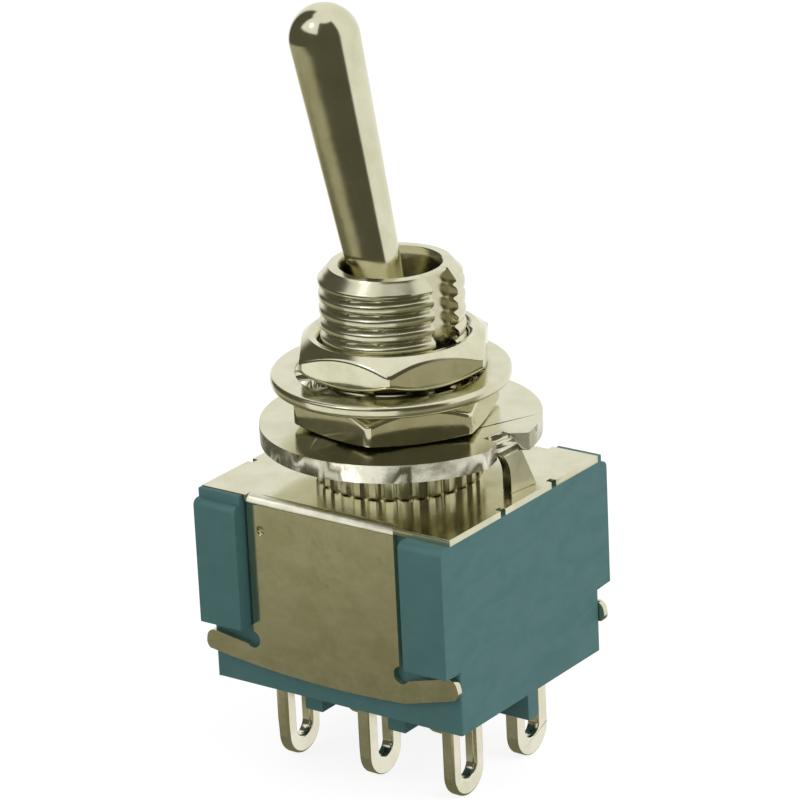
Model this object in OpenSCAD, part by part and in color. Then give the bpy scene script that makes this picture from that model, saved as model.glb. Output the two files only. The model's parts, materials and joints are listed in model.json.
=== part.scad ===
// Miniature panel toggle switch with two poles and six solder terminals, complete with
// its two hex nuts, lock washer and locating ring.
// Millimetres. +Z runs up the bushing and z = 0 is the top face of the frame plate. The
// lever swings in the XZ plane, -Y is the front and +X is the side of the keyway.

/* [Body] */
// Length of the moulded body and of the frame plate, along X
body_l = 13.2; // [12.6:0.1:15]
// Width of the body below its corner ribs, along Y
body_w = 10.7; // [10.4:0.1:12]
// Depth of the body's underside below the frame plate's top face
body_depth = 9.15; // [8.9:0.05:10]
// Thickness of the body's side walls
wall = 0.85; // [0.6:0.05:1]
// Thickness of the body's floor
floor_t = 1.2; // [0.9:0.05:1.4]
// Width of each corner rib, along X
rib_w = 2.25; // [1.6:0.05:2.3]
// How far the corner ribs stand out of the lower body
rib_out = 1.0; // [0.7:0.05:1.4]
// Depth of the ribs' lower shoulders below the frame plate's top face
shoulder_depth = 6.2; // [5.6:0.05:6.6]
// Radius of the ribs' outer edges
rib_r = 0.3; // [0.1:0.05:0.35]
// Thickness of the raised edge that two of the ribs have beside the plate
rib_edge_t = 0.26; // [0.15:0.01:0.35]
// Depth of those two ribs' outer part below the plate's top face
rib_step = 0.42; // [0.3:0.02:1]
// Radius of the lower body's upright corners
corner_r = 0.1; // [0.05:0.05:0.5]
// How far the insulating barriers stand below the underside
barrier_h = 1.2; // [0.5:0.05:2]
// Thickness of the long barrier between the two rows of terminals
long_barrier_t = 0.75; // [0.5:0.05:1.2]
// Thickness of the two cross barriers between the terminals
cross_barrier_t = 0.95; // [0.5:0.05:1.4]
// Length of the cross barriers, along Y
cross_barrier_l = 8.4; // [7:0.1:9.4]
// Thickness of the wall inside the body that parts the two poles
partition_t = 0.8; // [0.5:0.05:1.2]

/* [Frame] */
// Thickness of the frame's sheet metal
frame_t = 0.3; // [0.2:0.05:0.4]
// Gap between each strap and the corner rib at the left end of its side
strap_gap_left = 0.145; // [0.05:0.005:0.8]
// Gap between each strap and the corner rib at the right end of its side
strap_gap_right = 0.705; // [0.05:0.005:1.2]
// Outer radius of the fold between the plate and the straps
fold_r = 0.4; // [0.31:0.01:0.6]
// Depth of the straps' lower edge below the plate's top face, at its lowest
leaf_depth = 8.24; // [8:0.02:8.5]
// Radius of the bowed lower edge of each strap
leaf_bow_r = 48; // [20:1:80]
// How far the bow's lowest point lies off the middle, towards the side's right end
leaf_bow_offset = 0.2; // [0:0.1:1.5]
// Height of the crimped wings at the foot of each strap
wing_h = 1.0; // [0.7:0.05:1.1]
// Distance from the straps' lowest edge up to the middle of the wings' roots
wing_root = 0.6; // [0.5:0.02:0.8]
// How far the wing at the left end of a side reaches past the body's end
wing_past_left = 0.26; // [-0.5:0.02:0.4]
// How far the wing at the right end of a side reaches past the body's end
wing_past_right = 0.04; // [-0.5:0.02:0.4]
// Rise of the left wing towards its tip, in degrees
wing_rise_left = 8; // [0:0.5:16]
// Rise of the right wing towards its tip, in degrees
wing_rise_right = 15; // [0:0.5:16]
// Radius of the wings' corners
wing_r = 0.42; // [0.1:0.02:0.48]
// Radius of the round relief cuts above the wings, at the strap's edges
relief_r = 0.4; // [0.2:0.02:0.5]
// Width of the small notches in the plate's end edges
notch_w = 0.36; // [0.2:0.02:0.6]
// Depth of the notches in the plate's end edges
notch_d = 0.3; // [0.1:0.05:0.5]
// Distance between the two notches of one end
notch_spacing = 3.88; // [2:0.02:6]
// How far the notches of one end are set off its middle
notch_offset = 0.25; // [0:0.01:0.5]

/* [Bushing] */
// Outer diameter of the thread
thread_d = 6.35; // [6.2:0.05:6.6]
// Height of the bushing's rim above the plate
bushing_h = 9.61; // [9:0.05:12]
// Height of the chamfer at the thread's upper end
thread_chamfer_h = 0.55; // [0.2:0.05:0.8]
// Width of that chamfer
thread_chamfer_w = 0.5; // [0.2:0.05:0.6]
// Diameter of the fluted collar at the bushing's foot
collar_d = 7.4; // [7.1:0.05:8]
// Height of the collar, which the locating ring rests on
collar_h = 1.78; // [1.2:0.05:2]
// Number of flutes around the collar
flutes = 32; // [16:1:40]
// Distance from one groove of the thread to the next
thread_pitch = 0.635; // [0.5:0.005:1]
// Depth of the thread's grooves
thread_depth = 0.26; // [0.1:0.01:0.35]
// Width of the thread's flat crests
thread_crest = 0.2; // [0.1:0.01:0.4]
// Depth of the flutes
flute_d = 0.1; // [0.05:0.01:0.15]
// Diameter of the spigot that passes through the frame plate
spigot_d = 5.8; // [5.6:0.05:6.2]
// Diameter of the rolled-over lip below the plate
lip_d = 6.6; // [6.3:0.05:7]
// Thickness of the rolled-over lip
lip_t = 0.2; // [0.15:0.01:0.25]
// Diameter of the bore at the rim
mouth_d = 4.46; // [4.4:0.02:4.7]
// Diameter of the neck that keeps the lever's ball in
neck_d = 3.24; // [3.1:0.02:3.5]
// Width of the keyway in the thread
keyway_w = 1.55; // [1.4:0.05:1.8]
// Depth of the keyway
keyway_depth = 0.62; // [0.4:0.02:0.7]
// Turn of the keyway away from +X, in degrees
keyway_angle = -5; // [-10:1:10]

/* [Lever] */
// Height of the lever's pivot above the plate
pivot_z = 5.1; // [5:0.02:5.3]
// Lean of the lever from upright, to either side, in degrees
lever_tilt = 11.65; // [9:0.05:11.9]
// Radius of the lever's rounded tip
tip_r = 1.555; // [1.3:0.005:1.8]
// Distance from the pivot to the centre of the rounded tip
tip_reach = 14.38; // [10:0.02:20]
// Diameter of the lever where it leaves the ball
stem_d = 2.14; // [1.9:0.02:2.3]
// Diameter of the ball that the lever pivots on
ball_d = 4.3; // [4.2:0.02:4.36]
// Diameter of the lever's tail
tail_d = 1.8; // [1.5:0.05:2]
// Diameter of the pin through the ball
pin_d = 0.8; // [0.6:0.05:0.9]
// Length of the pin
pin_l = 5.2; // [4.9:0.02:5.3]

/* [Hardware] */
// Width of the hex nuts across their flats
nut_af = 8.0; // [7.8:0.1:9]
// Thickness of each hex nut
nut_t = 1.72; // [1.4:0.02:2]
// Diameter of a nut's flat face inside its chamfer
nut_face_d = 7.46; // [7:0.02:7.7]
// Slope of the chamfers at the nuts' corners, as rise over run
nut_chamfer = 0.74; // [0.4:0.02:1]
// Slope of the lower nut's chamfer on its lower side
low_chamfer = 0.25; // [0.1:0.05:1]
// Turn of the upper nut about the bushing, in degrees
upper_nut_angle = 2.7; // [-30:0.1:30]
// Turn of the lower nut about the bushing, in degrees
lower_nut_angle = -10; // [-30:0.5:30]
// Outer diameter of the lock washer
washer_d = 10.5; // [10:0.1:11.5]
// Thickness of the lock washer
washer_t = 0.55; // [0.5:0.05:0.8]
// Inner diameter of the lock washer's plain band
washer_band_d = 8.3; // [8:0.05:8.8]
// Radial play between the thread and the tips of the lock washer's teeth
tooth_play = 0.275; // [0.25:0.005:0.5]
// Number of teeth of the lock washer
washer_teeth = 10; // [6:1:12]
// Width of each tooth
tooth_w = 1.0; // [0.6:0.05:1.2]
// Thickness of each tooth
tooth_t = 0.32; // [0.2:0.02:0.35]
// Twist of each tooth, in degrees
tooth_twist = 11; // [0:1:12]
// Outer diameter of the locating ring
ring_d = 12.36; // [11.5:0.02:12.8]
// Thickness of the locating ring
ring_t = 0.8; // [0.5:0.05:1]
// Radial play of the locating ring on the thread
ring_play = 0.175; // [0.15:0.005:0.3]
// Width of the ring's inward key
key_w = 1.2; // [0.8:0.05:1.3]
// How far the key reaches into the thread
key_reach = 0.32; // [0.2:0.02:0.36]
// Width of the foot of the ring's tab, which is bent down onto the plate
tab_w = 1.55; // [1.2:0.05:2]
// Thickness of the tab
tab_t = 0.5; // [0.4:0.05:0.7]
// Turn of the line that the tab is bent along, in degrees
tab_angle = -9.6; // [-15:0.1:0]
// Distance from the bushing's axis to the tab's outer face
tab_reach = 5.65; // [5.5:0.01:5.8]
// Distance of the tab's near edge from the middle of the bend's line
tab_start = 0.95; // [0.6:0.01:1.2]
// How far the tab leans sideways on its way down
tab_lean = 1.2; // [0.6:0.02:1.4]
// Outer radius of the tab's bend
tab_bend_r = 0.8; // [0.5:0.05:1]
// Radius of the fillet between the ring and the tab's near edge
tab_fillet_r = 1.6; // [1:0.05:1.8]
// How far the notch at the tab's far edge runs in past the tab's face
tab_notch = 0.35; // [0.1:0.05:0.6]

/* [Terminals] */
// Distance between neighbouring terminals of one row, along X
terminal_pitch = 4.48; // [4.4:0.02:4.8]
// Distance between the two rows of terminals, along Y
row_spacing = 4.9; // [4.7:0.05:5.1]
// Width of a terminal's lug
lug_w = 2.35; // [1.8:0.05:2.4]
// Thickness of a terminal's lug
lug_t = 0.6; // [0.4:0.02:0.8]
// Length of a lug below the body's underside
lug_l = 4.33; // [3.6:0.01:6]
// Width of the solder slot in a lug
eye_w = 1.05; // [0.6:0.05:1.3]
// Length of the solder slot
eye_l = 3.0; // [1.6:0.05:3.2]
// Distance from a lug's tip to its solder slot
eye_drop = 0.83; // [0.5:0.01:1]
// Thickness of the shelf and cradle plates inside the body
shelf_t = 0.3; // [0.2:0.02:0.4]
// Length of the shelf that carries a fixed contact
shelf_l = 1.75; // [1.6:0.05:1.9]
// Diameter of a fixed contact
contact_d = 1.2; // [0.8:0.05:1.4]
// Height of a fixed contact
contact_h = 0.25; // [0.15:0.01:0.35]

/* [Mechanism] */
// Height of the pads under the fixed contacts' shelves
pad_h = 0.65; // [0.5:0.05:0.8]
// Tilt of a rocker from level, and slope of its arms, in degrees
rocker_tilt = 8; // [6:0.5:9]
// Thickness of a rocker
rocker_t = 0.3; // [0.2:0.02:0.36]
// Width of a rocker
rocker_w = 2.0; // [1.7:0.05:2.1]
// Length of a rocker's arm from its pivot
rocker_arm = 4.35; // [4:0.05:4.6]
// Diameter of the ears that a rocker turns on
ear_d = 0.7; // [0.5:0.02:0.8]
// Thickness of the cradle's cheeks, which hold the ears
cheek_t = 0.3; // [0.2:0.02:0.36]
// Width of the cradle, along X
cradle_w = 1.7; // [1.3:0.05:2]
// Diameter of a plunger
plunger_d = 1.6; // [1.4:0.02:1.7]
// Length of a plunger's barrel above its rounded end
plunger_l = 2.7; // [2.3:0.05:3]
// Diameter of the blind hole in a plunger
plunger_hole_d = 1.0; // [0.96:0.02:1.1]
// Travel of a plunger into the carrier
plunger_travel = 0.7; // [0.4:0.05:0.8]
// Distance from the pivot down to the carrier's top
carrier_drop = 6.4; // [6.3:0.05:6.5]
// Height of the carrier
carrier_h = 3.3; // [3:0.05:3.4]
// Thickness of the carrier's floor under the lever's tail
carrier_floor = 0.8; // [0.5:0.05:1.5]
// Length of the carrier, along X
carrier_l = 3.4; // [2.6:0.05:3.5]
// Width of the carrier, along Y
carrier_w = 8.0; // [7.2:0.05:8.2]
// Wire diameter of a plunger's spring
wire_d = 0.14; // [0.1:0.01:0.18]
// Outer diameter of a plunger's spring
spring_d = 0.88; // [0.7:0.01:0.92]
// Number of turns of a plunger's spring
spring_turns = 7; // [5:1:9]

/* [Fits] */
// Radial play of nuts on the thread
thread_gap = 0.03; // [0.02:0.01:0.06]
// Radial play of the ball, ears and plungers in their seats
running_gap = 0.05; // [0.02:0.01:0.06]
// Play between pieces that are fixed in one another
fixed_gap = 0.02; // [0.005:0.005:0.03]
// Gap between a closed rocker and its fixed contact
contact_gap = 0.03; // [0.02:0.01:0.06]
// Least gap between a plunger's end and its rocker, at mid travel
plunger_gap = 0.13; // [0.1:0.01:0.3]

/* [Hidden] */
$fn = 64;
cut = 1;                        // how far cutting shapes run past a face
frame_w = body_w + 2 * frame_t;
rib_x = body_l / 2 - rib_w;     // inner face of the corner ribs
rib_y = body_w / 2 + rib_out;   // outer face of the corner ribs
rib_edge_y = frame_w / 2 + fixed_gap + rib_edge_t;
floor_z = floor_t - body_depth; // inner face of the body's floor
strap_left = strap_gap_left - rib_x;
strap_right = rib_x - strap_gap_right;
strap_w = strap_right - strap_left;
pole_y = row_spacing / 2;
tip_z = -body_depth - lug_l;    // lowest point of the terminals

collar_top = collar_h;
ring_top = collar_top + ring_t;
lower_nut_top = ring_top + nut_t;
washer_top = lower_nut_top + washer_t;
ring_shift = [0.11, 0.08, 0];     // the ring hangs to one side by its play
washer_shift = [-0.16, -0.12, 0]; // and so does the washer
ring_bore_d = thread_d + 2 * ring_play;
washer_tooth_d = thread_d + 2 * tooth_play;

seat_r = ball_d / 2 + running_gap;
seat_top = pivot_z + sqrt(pow(seat_r, 2) - pow(neck_d / 2, 2));
pin_slot_r = pin_l / 2 + 0.08;
lip_bottom = -frame_t - lip_t;
stem_start = 1;                // the stem begins inside the ball

shelf_z = floor_z + pad_h;     // underside of the fixed contacts' shelves
contact_z = shelf_z + shelf_t; // foot of the fixed contacts
contact_x = terminal_pitch + lug_t / 2 - shelf_l + contact_d / 2 + 0.1;
rocker_z = contact_z + contact_h + contact_gap + rocker_t / 2;
ear_l = 0.5;
ear_r = ear_d / 2;
cheek_y = rocker_w / 2 + 0.15; // inner face of the cradle's cheeks

plunger_r = plunger_d / 2;
// distance from the pivot to the centre of a plunger's rounded end: at mid travel the end
// stands over the valley between the rocker's two arms
plunger_c = pivot_z - rocker_z - plunger_gap
    - (rocker_t / 2 + plunger_r) / cos(rocker_tilt);
carrier_foot = carrier_drop + carrier_h;
bore_top = plunger_c - plunger_l - plunger_travel - 0.3;
hole_foot = plunger_c - 0.25;  // floor of the blind hole in a plunger
tail_l = carrier_foot - carrier_floor;
partition_top = pivot_z - norm([carrier_l / 2, carrier_foot]) - 0.3;

SIDES = [["front", -1], ["rear", 1]];
ENDS = [["left", -1], ["right", 1]];

TEAL = [0.27, 0.43, 0.44];
NICKEL = [0.72, 0.71, 0.62];
SILVER = [0.80, 0.78, 0.70];
NATURAL = [0.86, 0.84, 0.78];

// a rectangle of size x by y about the origin, with true round corners
module rounded_square(x, y, r) {
    square([x - 2 * r, y], center = true);
    square([x, y - 2 * r], center = true);
    for (i = [-1, 1], j = [-1, 1])
        translate([i * (x / 2 - r), j * (y / 2 - r)]) circle(r);
}

// a block about the Z axis, from height z0 to height z1
module block(x, y, z0, z1) {
    translate([-x / 2, -y / 2, z0]) cube([x, y, z1 - z0]);
}

// the lever's own frame at rest, where the lever leans towards -X
module at_pivot() {
    translate([0, 0, pivot_z]) rotate([0, -lever_tilt, 0]) children();
}

// ---- moulded body ----

// section of a corner rib across X; top is the height of its outer part, and edge_top that
// of its part beside the plate
module rib_section(top, edge_top) {
    inner = body_w / 2 - wall / 2;
    difference() {
        translate([inner, -shoulder_depth]) {
            square([rib_y - inner, top + shoulder_depth]);
            square([rib_edge_y - inner, edge_top + shoulder_depth]);
        }
        translate([rib_y - rib_r, top - rib_r]) difference() {
            square(rib_r + cut);
            circle(rib_r);
        }
    }
}

// a corner rib on the +X end of the +Y side, standing clear of the plate's edge
module corner_rib(top, edge_top) {
    translate([rib_x, 0, 0]) rotate([90, 0, 90]) linear_extrude(rib_w)
        intersection() {
            rib_section(top, edge_top);
            union() {
                translate([0, -body_depth]) square([rib_y + cut, body_depth - frame_t]);
                translate([frame_w / 2 + fixed_gap, -frame_t - cut])
                    square([rib_out + cut, frame_t + 2 * cut]);
            }
        }
}

// where a terminal passes through the floor
module terminal_slot(x, y) {
    gap = 2 * fixed_gap;
    translate([x, y, 0]) block(lug_t + gap, lug_w + gap, -body_depth - cut, shelf_z + cut);
}

module cavity() {
    x = body_l - 2 * wall;
    y = body_w - 2 * wall;
    block(x, y, floor_z, cut);
}

module cavity_fittings() {
    y = body_w - wall;
    pad_x = body_l / 2 - wall / 2;
    pad_w = pad_x - (terminal_pitch + lug_t / 2 - shelf_l);
    block(body_l - wall, partition_t, floor_z - 0.1, partition_top);
    for (i = [-1, 1])
        translate([i * (pad_x - pad_w / 2), 0, 0]) block(pad_w, y, floor_z - 0.1, shelf_z);
}

module barriers() {
    top = -body_depth + 0.1;
    foot = -body_depth - barrier_h;
    block(body_l, long_barrier_t, foot, top);
    for (i = [-1, 1])
        translate([i * terminal_pitch / 2, 0, 0])
            block(cross_barrier_t, cross_barrier_l, foot, top);
}

module housing() {
    color(TEAL) difference() {
        union() {
            difference() {
                union() {
                    translate([0, 0, -body_depth]) linear_extrude(body_depth - frame_t)
                        rounded_square(body_l, body_w, corner_r);
                    for (turn = [0, 180]) rotate(turn) {
                        corner_rib(-rib_step, -fixed_gap);
                        mirror([1, 0, 0]) corner_rib(-frame_t, -frame_t);
                    }
                }
                cavity();
            }
            cavity_fittings();
            barriers();
        }
        for (i = [-1, 0, 1], j = [-1, 1]) terminal_slot(i * terminal_pitch, j * pole_y);
    }
}

// ---- frame ----

// one wing, drawn as X and Z from the strap's edge at x = 0 and below the relief cut there
module wing(reach, rise) {
    run = reach / cos(rise);
    root = 0.6;                 // how far the wing runs into the strap
    rotate(rise) translate([(run - root) / 2, 0]) rounded_square(run + root, wing_h, wing_r);
}

// the relief cut at the strap's edge, just above the wing
module relief(rise) {
    translate([relief_r / 5, wing_h / 2 / cos(rise) + 0.8 * relief_r]) circle(relief_r);
}

// outline of the strap and its wings on the front side, drawn as X and Z
module leaf_outline() {
    end = body_l / 2;
    wing_top = shoulder_depth + fixed_gap;
    foot = [0, wing_root - leaf_depth];
    difference() {
        intersection() {
            union() {
                translate([strap_left, -leaf_depth]) square([strap_w, leaf_depth]);
                intersection() {
                    union() {
                        translate(foot + [strap_right, 0])
                            wing(end + wing_past_right - strap_right, wing_rise_right);
                        translate(foot + [strap_left, 0]) mirror([1, 0])
                            wing(end + wing_past_left + strap_left, wing_rise_left);
                    }
                    translate([-body_l, -body_depth])
                        square([2 * body_l, body_depth - wing_top]);
                }
            }
            translate([leaf_bow_offset, leaf_bow_r - leaf_depth])
                circle(leaf_bow_r, $fn = 128);
        }
        translate(foot + [strap_right, 0]) relief(wing_rise_right);
        translate(foot + [strap_left, 0]) mirror([1, 0]) relief(wing_rise_left);
    }
}

// one side of the frame: the strap, its wings and a small dimple that grips the body
module side_leaf() {
    dimple = [strap_left + 0.7, -frame_w / 2, -1.55];
    difference() {
        translate([0, -body_w / 2, 0]) rotate([90, 0, 0]) linear_extrude(frame_t)
            leaf_outline();
        translate(dimple) rotate([90, 0, 0]) cylinder(h = 0.24, r = 0.22, center = true);
    }
}

// what is cut off the plate's long edge so that the fold is round
module fold_cut() {
    translate([strap_left, -frame_w / 2 + fold_r, -fold_r]) rotate([90, 0, 90])
        linear_extrude(strap_w) difference() {
            translate([-fold_r - cut, 0]) square(fold_r + cut);
            circle(fold_r);
        }
}

module frame() {
    color(NICKEL) difference() {
        union() {
            block(body_l, frame_w, -frame_t, 0);
            for (turn = [0, 180]) rotate(turn) side_leaf();
        }
        for (turn = [0, 180]) rotate(turn) fold_cut();
        translate([0, 0, -frame_t - cut])
            cylinder(h = frame_t + 2 * cut, d = spigot_d + 2 * fixed_gap);
        for (i = [-1, 1], j = [-1, 1])
            translate([i * body_l / 2, i * notch_offset + j * notch_spacing / 2, 0])
                block(2 * notch_d, notch_w, -frame_t - cut, cut);
    }
}

// ---- bushing ----

// the threaded length from height z0 to height z1, with parallel grooves for the thread
module thread(z0, z1) {
    r = thread_d / 2;
    flank = (thread_pitch - thread_crest) / 2;
    turns = floor((z1 - z0) / thread_pitch);
    rotate_extrude() polygon(concat(
        [[0, z1], [0, z0], [r, z0]],
        [for (i = [0 : turns - 1], p = [[0, thread_crest / 2],
            [-thread_depth, thread_crest / 2 + flank], [0, thread_crest / 2 + 2 * flank]])
            [r + p[0], z0 + i * thread_pitch + p[1]]],
        [[r, z1]]));
}

module bushing_outside() {
    chamfer_z = bushing_h - thread_chamfer_h;
    translate([0, 0, lip_bottom]) cylinder(h = lip_t, d = lip_d);
    translate([0, 0, -frame_t - 0.01]) cylinder(h = frame_t + 0.02, d = spigot_d);
    difference() {
        cylinder(h = collar_h, d = collar_d);
        for (i = [0 : flutes - 1]) rotate(i * 360 / flutes)
            translate([collar_d / 2 + flute_d, 0, -cut])
                cylinder(h = collar_h + 2 * cut, r = 2 * flute_d, $fn = 16);
    }
    thread(collar_h, chamfer_z);
    translate([0, 0, chamfer_z])
        cylinder(h = thread_chamfer_h, d1 = thread_d, d2 = thread_d - 2 * thread_chamfer_w);
}

module bushing_inside() {
    translate([0, 0, lip_bottom - cut]) cylinder(h = pivot_z - lip_bottom + cut, r = seat_r);
    translate([0, 0, pivot_z]) sphere(seat_r);
    translate([0, 0, seat_top - 0.2]) cylinder(h = 0.2, d = neck_d);
    translate([0, 0, seat_top])
        cylinder(h = bushing_h - seat_top, d1 = neck_d, d2 = mouth_d);
    translate([0, 0, bushing_h]) cylinder(h = cut, d = mouth_d);
}

// the two upright slots inside the bushing that the ends of the lever's pin stand in
module pin_slots() {
    r = pin_d / 2 + running_gap;
    block(2 * r, 2 * pin_slot_r, lip_bottom - cut, pivot_z);
    translate([0, 0, pivot_z]) rotate([90, 0, 0])
        cylinder(h = 2 * pin_slot_r, r = r, center = true);
}

module keyway() {
    inner = thread_d / 2 - keyway_depth;
    rotate(keyway_angle) translate([inner, -keyway_w / 2, collar_top])
        cube([keyway_depth + cut, keyway_w, bushing_h]);
}

module bushing() {
    color(NICKEL) difference() {
        bushing_outside();
        bushing_inside();
        pin_slots();
        keyway();
    }
}

// ---- hardware on the bushing ----

// the round blank that gives a hex nut its chamfers; slopes are rise over run
module nut_blank(low_slope, high_slope) {
    corner = nut_af / sqrt(3);
    face = nut_face_d / 2;
    run = corner + 0.1 - face;
    rotate_extrude() polygon([
        [0, 0], [face, 0], [face + run, run * low_slope],
        [face + run, nut_t - run * high_slope], [face, nut_t], [0, nut_t]
    ]);
}

module hex_nut(z, angle, low_slope, high_slope) {
    color(NICKEL) translate([0, 0, z]) rotate(angle) difference() {
        intersection() {
            cylinder(h = nut_t, r = nut_af / sqrt(3), $fn = 6);
            nut_blank(low_slope, high_slope);
        }
        translate([0, 0, -cut])
            cylinder(h = nut_t + 2 * cut, r = thread_d / 2 + thread_gap);
    }
}

module lower_nut() {
    hex_nut(ring_top, lower_nut_angle, low_chamfer, nut_chamfer);
}

module upper_nut() {
    hex_nut(washer_top, upper_nut_angle, nut_chamfer, nut_chamfer);
}

// an internal-tooth lock washer: a flat band with twisted teeth that point inwards
module lock_washer() {
    reach = washer_band_d / 2 - washer_tooth_d / 2 + 0.2;
    color(NICKEL) translate(washer_shift + [0, 0, lower_nut_top]) {
        difference() {
            cylinder(h = washer_t, d = washer_d);
            translate([0, 0, -cut]) cylinder(h = washer_t + 2 * cut, d = washer_band_d);
        }
        for (i = [0 : washer_teeth - 1]) rotate(i * 360 / washer_teeth)
            translate([washer_tooth_d / 2 + reach / 2, 0, washer_t / 2])
                rotate([tooth_twist, 0, 0])
                    cube([reach, tooth_w, tooth_t], center = true);
    }
}

// the tab's profile across its bend: down from the ring's top to the plate
module tab_section() {
    r = tab_bend_r;
    difference() {
        union() {
            translate([tab_reach - tab_t, fixed_gap]) square([tab_t, ring_top - fixed_gap]);
            translate([tab_reach - r - 0.5, collar_top]) square([r + 0.5, ring_t]);
        }
        translate([tab_reach - r, ring_top - r]) difference() {
            square(r + cut);
            circle(r);
        }
    }
}

// the tab seen from outside: it leans, with a large fillet at its near edge
module tab_outline() {
    left = tab_start - tab_fillet_r;
    fillet_z = 0.75;            // where the straight part of the near edge ends
    difference() {
        polygon([[left, 0], [tab_start + tab_w, 0],
            [tab_start + tab_w - tab_lean, ring_top], [left, ring_top]]);
        translate([left, fillet_z]) circle(tab_fillet_r);
        translate([left - cut, -cut]) square([tab_fillet_r + cut, fillet_z + cut]);
    }
}

module tab() {
    rotate(tab_angle) intersection() {
        rotate([90, 0, 0]) linear_extrude(ring_d, center = true) tab_section();
        rotate([90, 0, 90]) linear_extrude(ring_d) tab_outline();
    }
}

// what is cut out of the ring's edge: the bend, and a slanted notch on the tab's far side
module tab_gap() {
    x = tab_reach - tab_bend_r; // where the bend begins
    out = 2;                    // how far the cut runs past the tab's face
    slant = 2.25;               // the near side follows the fillet out to the ring's edge
    near = tab_start - tab_fillet_r / 2;
    far = tab_start + tab_w - tab_lean;
    rotate(tab_angle) translate([0, 0, collar_top - cut]) linear_extrude(ring_t + 2 * cut)
        polygon([[x, near], [tab_reach, near], [tab_reach + out, near - slant * out],
            [tab_reach + out, far + tab_notch + out], [tab_reach - tab_notch, far],
            [x, far]]);
}

module locating_ring() {
    key_tip = thread_d / 2 - key_reach;
    color(NICKEL) translate(ring_shift) {
        difference() {
            translate([0, 0, collar_top]) cylinder(h = ring_t, d = ring_d);
            translate([0, 0, collar_top - cut])
                cylinder(h = ring_t + 2 * cut, d = ring_bore_d);
            tab_gap();
        }
        tab();
        rotate(keyway_angle) translate([key_tip, -key_w / 2, collar_top])
            cube([ring_bore_d / 2 - key_tip + 0.2, key_w, ring_t]);
    }
}

// ---- lever ----

module lever() {
    color(NICKEL) at_pivot() difference() {
        union() {
            translate([0, 0, tip_reach]) sphere(tip_r);
            translate([0, 0, stem_start])
                cylinder(h = tip_reach - stem_start, d1 = stem_d, r2 = tip_r);
            sphere(d = ball_d);
            translate([0, 0, -tail_l]) cylinder(h = tail_l, d = tail_d);
        }
        rotate([90, 0, 0]) cylinder(h = ball_d + cut, d = pin_d, center = true);
    }
}

module lever_pin() {
    color(SILVER) translate([0, 0, pivot_z]) rotate([90, 0, 0])
        cylinder(h = pin_l, d = pin_d, center = true);
}

// ---- switching mechanism ----

// the moulded carrier on the lever's tail, bored for two spring-loaded plungers
module carrier() {
    color(NATURAL) at_pivot() difference() {
        block(carrier_l, carrier_w, -carrier_foot, -carrier_drop);
        translate([0, 0, -tail_l - fixed_gap])
            cylinder(h = tail_l, r = tail_d / 2 + fixed_gap / 2);
        for (j = [-1, 1]) translate([0, j * pole_y, -carrier_foot - cut])
            cylinder(h = carrier_foot + cut - bore_top, r = plunger_r + running_gap);
    }
}

module plunger(side) {
    color(NATURAL) at_pivot() translate([0, side * pole_y, 0]) difference() {
        union() {
            translate([0, 0, -plunger_c]) sphere(plunger_r);
            translate([0, 0, -plunger_c]) cylinder(h = plunger_l, r = plunger_r);
        }
        translate([0, 0, -hole_foot]) cylinder(h = plunger_l, d = plunger_hole_d);
    }
}

// rings of points along a helix of radius r and the given height, closed at both ends
module helix(r, height, turns, wire_r) {
    steps = 14 * turns;
    sides = 6;
    lead = atan(height / (360 * turns) * 180 / PI / r);
    points = [for (i = [0 : steps], k = [0 : sides - 1])
        let (a = 360 * turns * i / steps, b = 360 * k / sides,
            out = r + wire_r * cos(b), along = wire_r * sin(b))
        [out * cos(a) + along * sin(lead) * sin(a),
         out * sin(a) - along * sin(lead) * cos(a),
         height * i / steps + along * cos(lead)]];
    faces = concat(
        [[for (k = [0 : sides - 1]) k]],
        [for (i = [0 : steps - 1], k = [0 : sides - 1])
            let (a = i * sides, n = (k + 1) % sides)
            [a + k, a + sides + k, a + sides + n, a + n]],
        [[for (k = [sides - 1 : -1 : 0]) steps * sides + k]]);
    polyhedron(points, faces);
}

module plunger_spring(side) {
    wire_r = wire_d / 2;
    foot = hole_foot - wire_r - fixed_gap;
    top = bore_top + wire_r + fixed_gap;
    color(SILVER) at_pivot() translate([0, side * pole_y, -foot])
        helix(spring_d / 2 - wire_r, foot - top, spring_turns, wire_r);
}

// a bent rocker that lies closed on its +X contact at rest
module rocker(side) {
    color(SILVER) translate([0, side * pole_y, rocker_z]) rotate([0, rocker_tilt, 0]) {
        for (i = [0, 180]) rotate(i) rotate([0, -rocker_tilt, 0])
            translate([0, -rocker_w / 2, -rocker_t / 2])
                cube([rocker_arm, rocker_w, rocker_t]);
        for (j = [-1, 1]) translate([0, j * (rocker_w / 2 + ear_l / 2 - 0.05), 0])
            rotate([90, 0, 0]) cylinder(h = ear_l + 0.1, d = ear_d, center = true);
    }
}

// ---- terminals ----

// a lug's outline with its solder slot, drawn as Y and Z, up to the height top
module lug_outline(top) {
    r = lug_w / 2;
    eye_r = eye_w / 2;
    eye_z = tip_z + eye_drop;
    difference() {
        union() {
            translate([-r, tip_z + r]) square([lug_w, top - tip_z - r]);
            translate([0, tip_z + r]) circle(r);
        }
        translate([-eye_r, eye_z + eye_r]) square([eye_w, eye_l - eye_w]);
        for (z = [eye_z + eye_r, eye_z + eye_l - eye_r]) translate([0, z]) circle(eye_r);
    }
}

module lug(top) {
    rotate([90, 0, 90]) linear_extrude(lug_t, center = true) lug_outline(top);
}

// an end terminal: its lug folds over into a shelf for the fixed contact
module end_terminal(side, end) {
    color(SILVER) translate([end * terminal_pitch, side * pole_y, 0]) {
        lug(shelf_z + 0.1);
        translate([end * (lug_t - shelf_l) / 2, 0, 0])
            block(shelf_l, lug_w, shelf_z, contact_z);
    }
}

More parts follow.
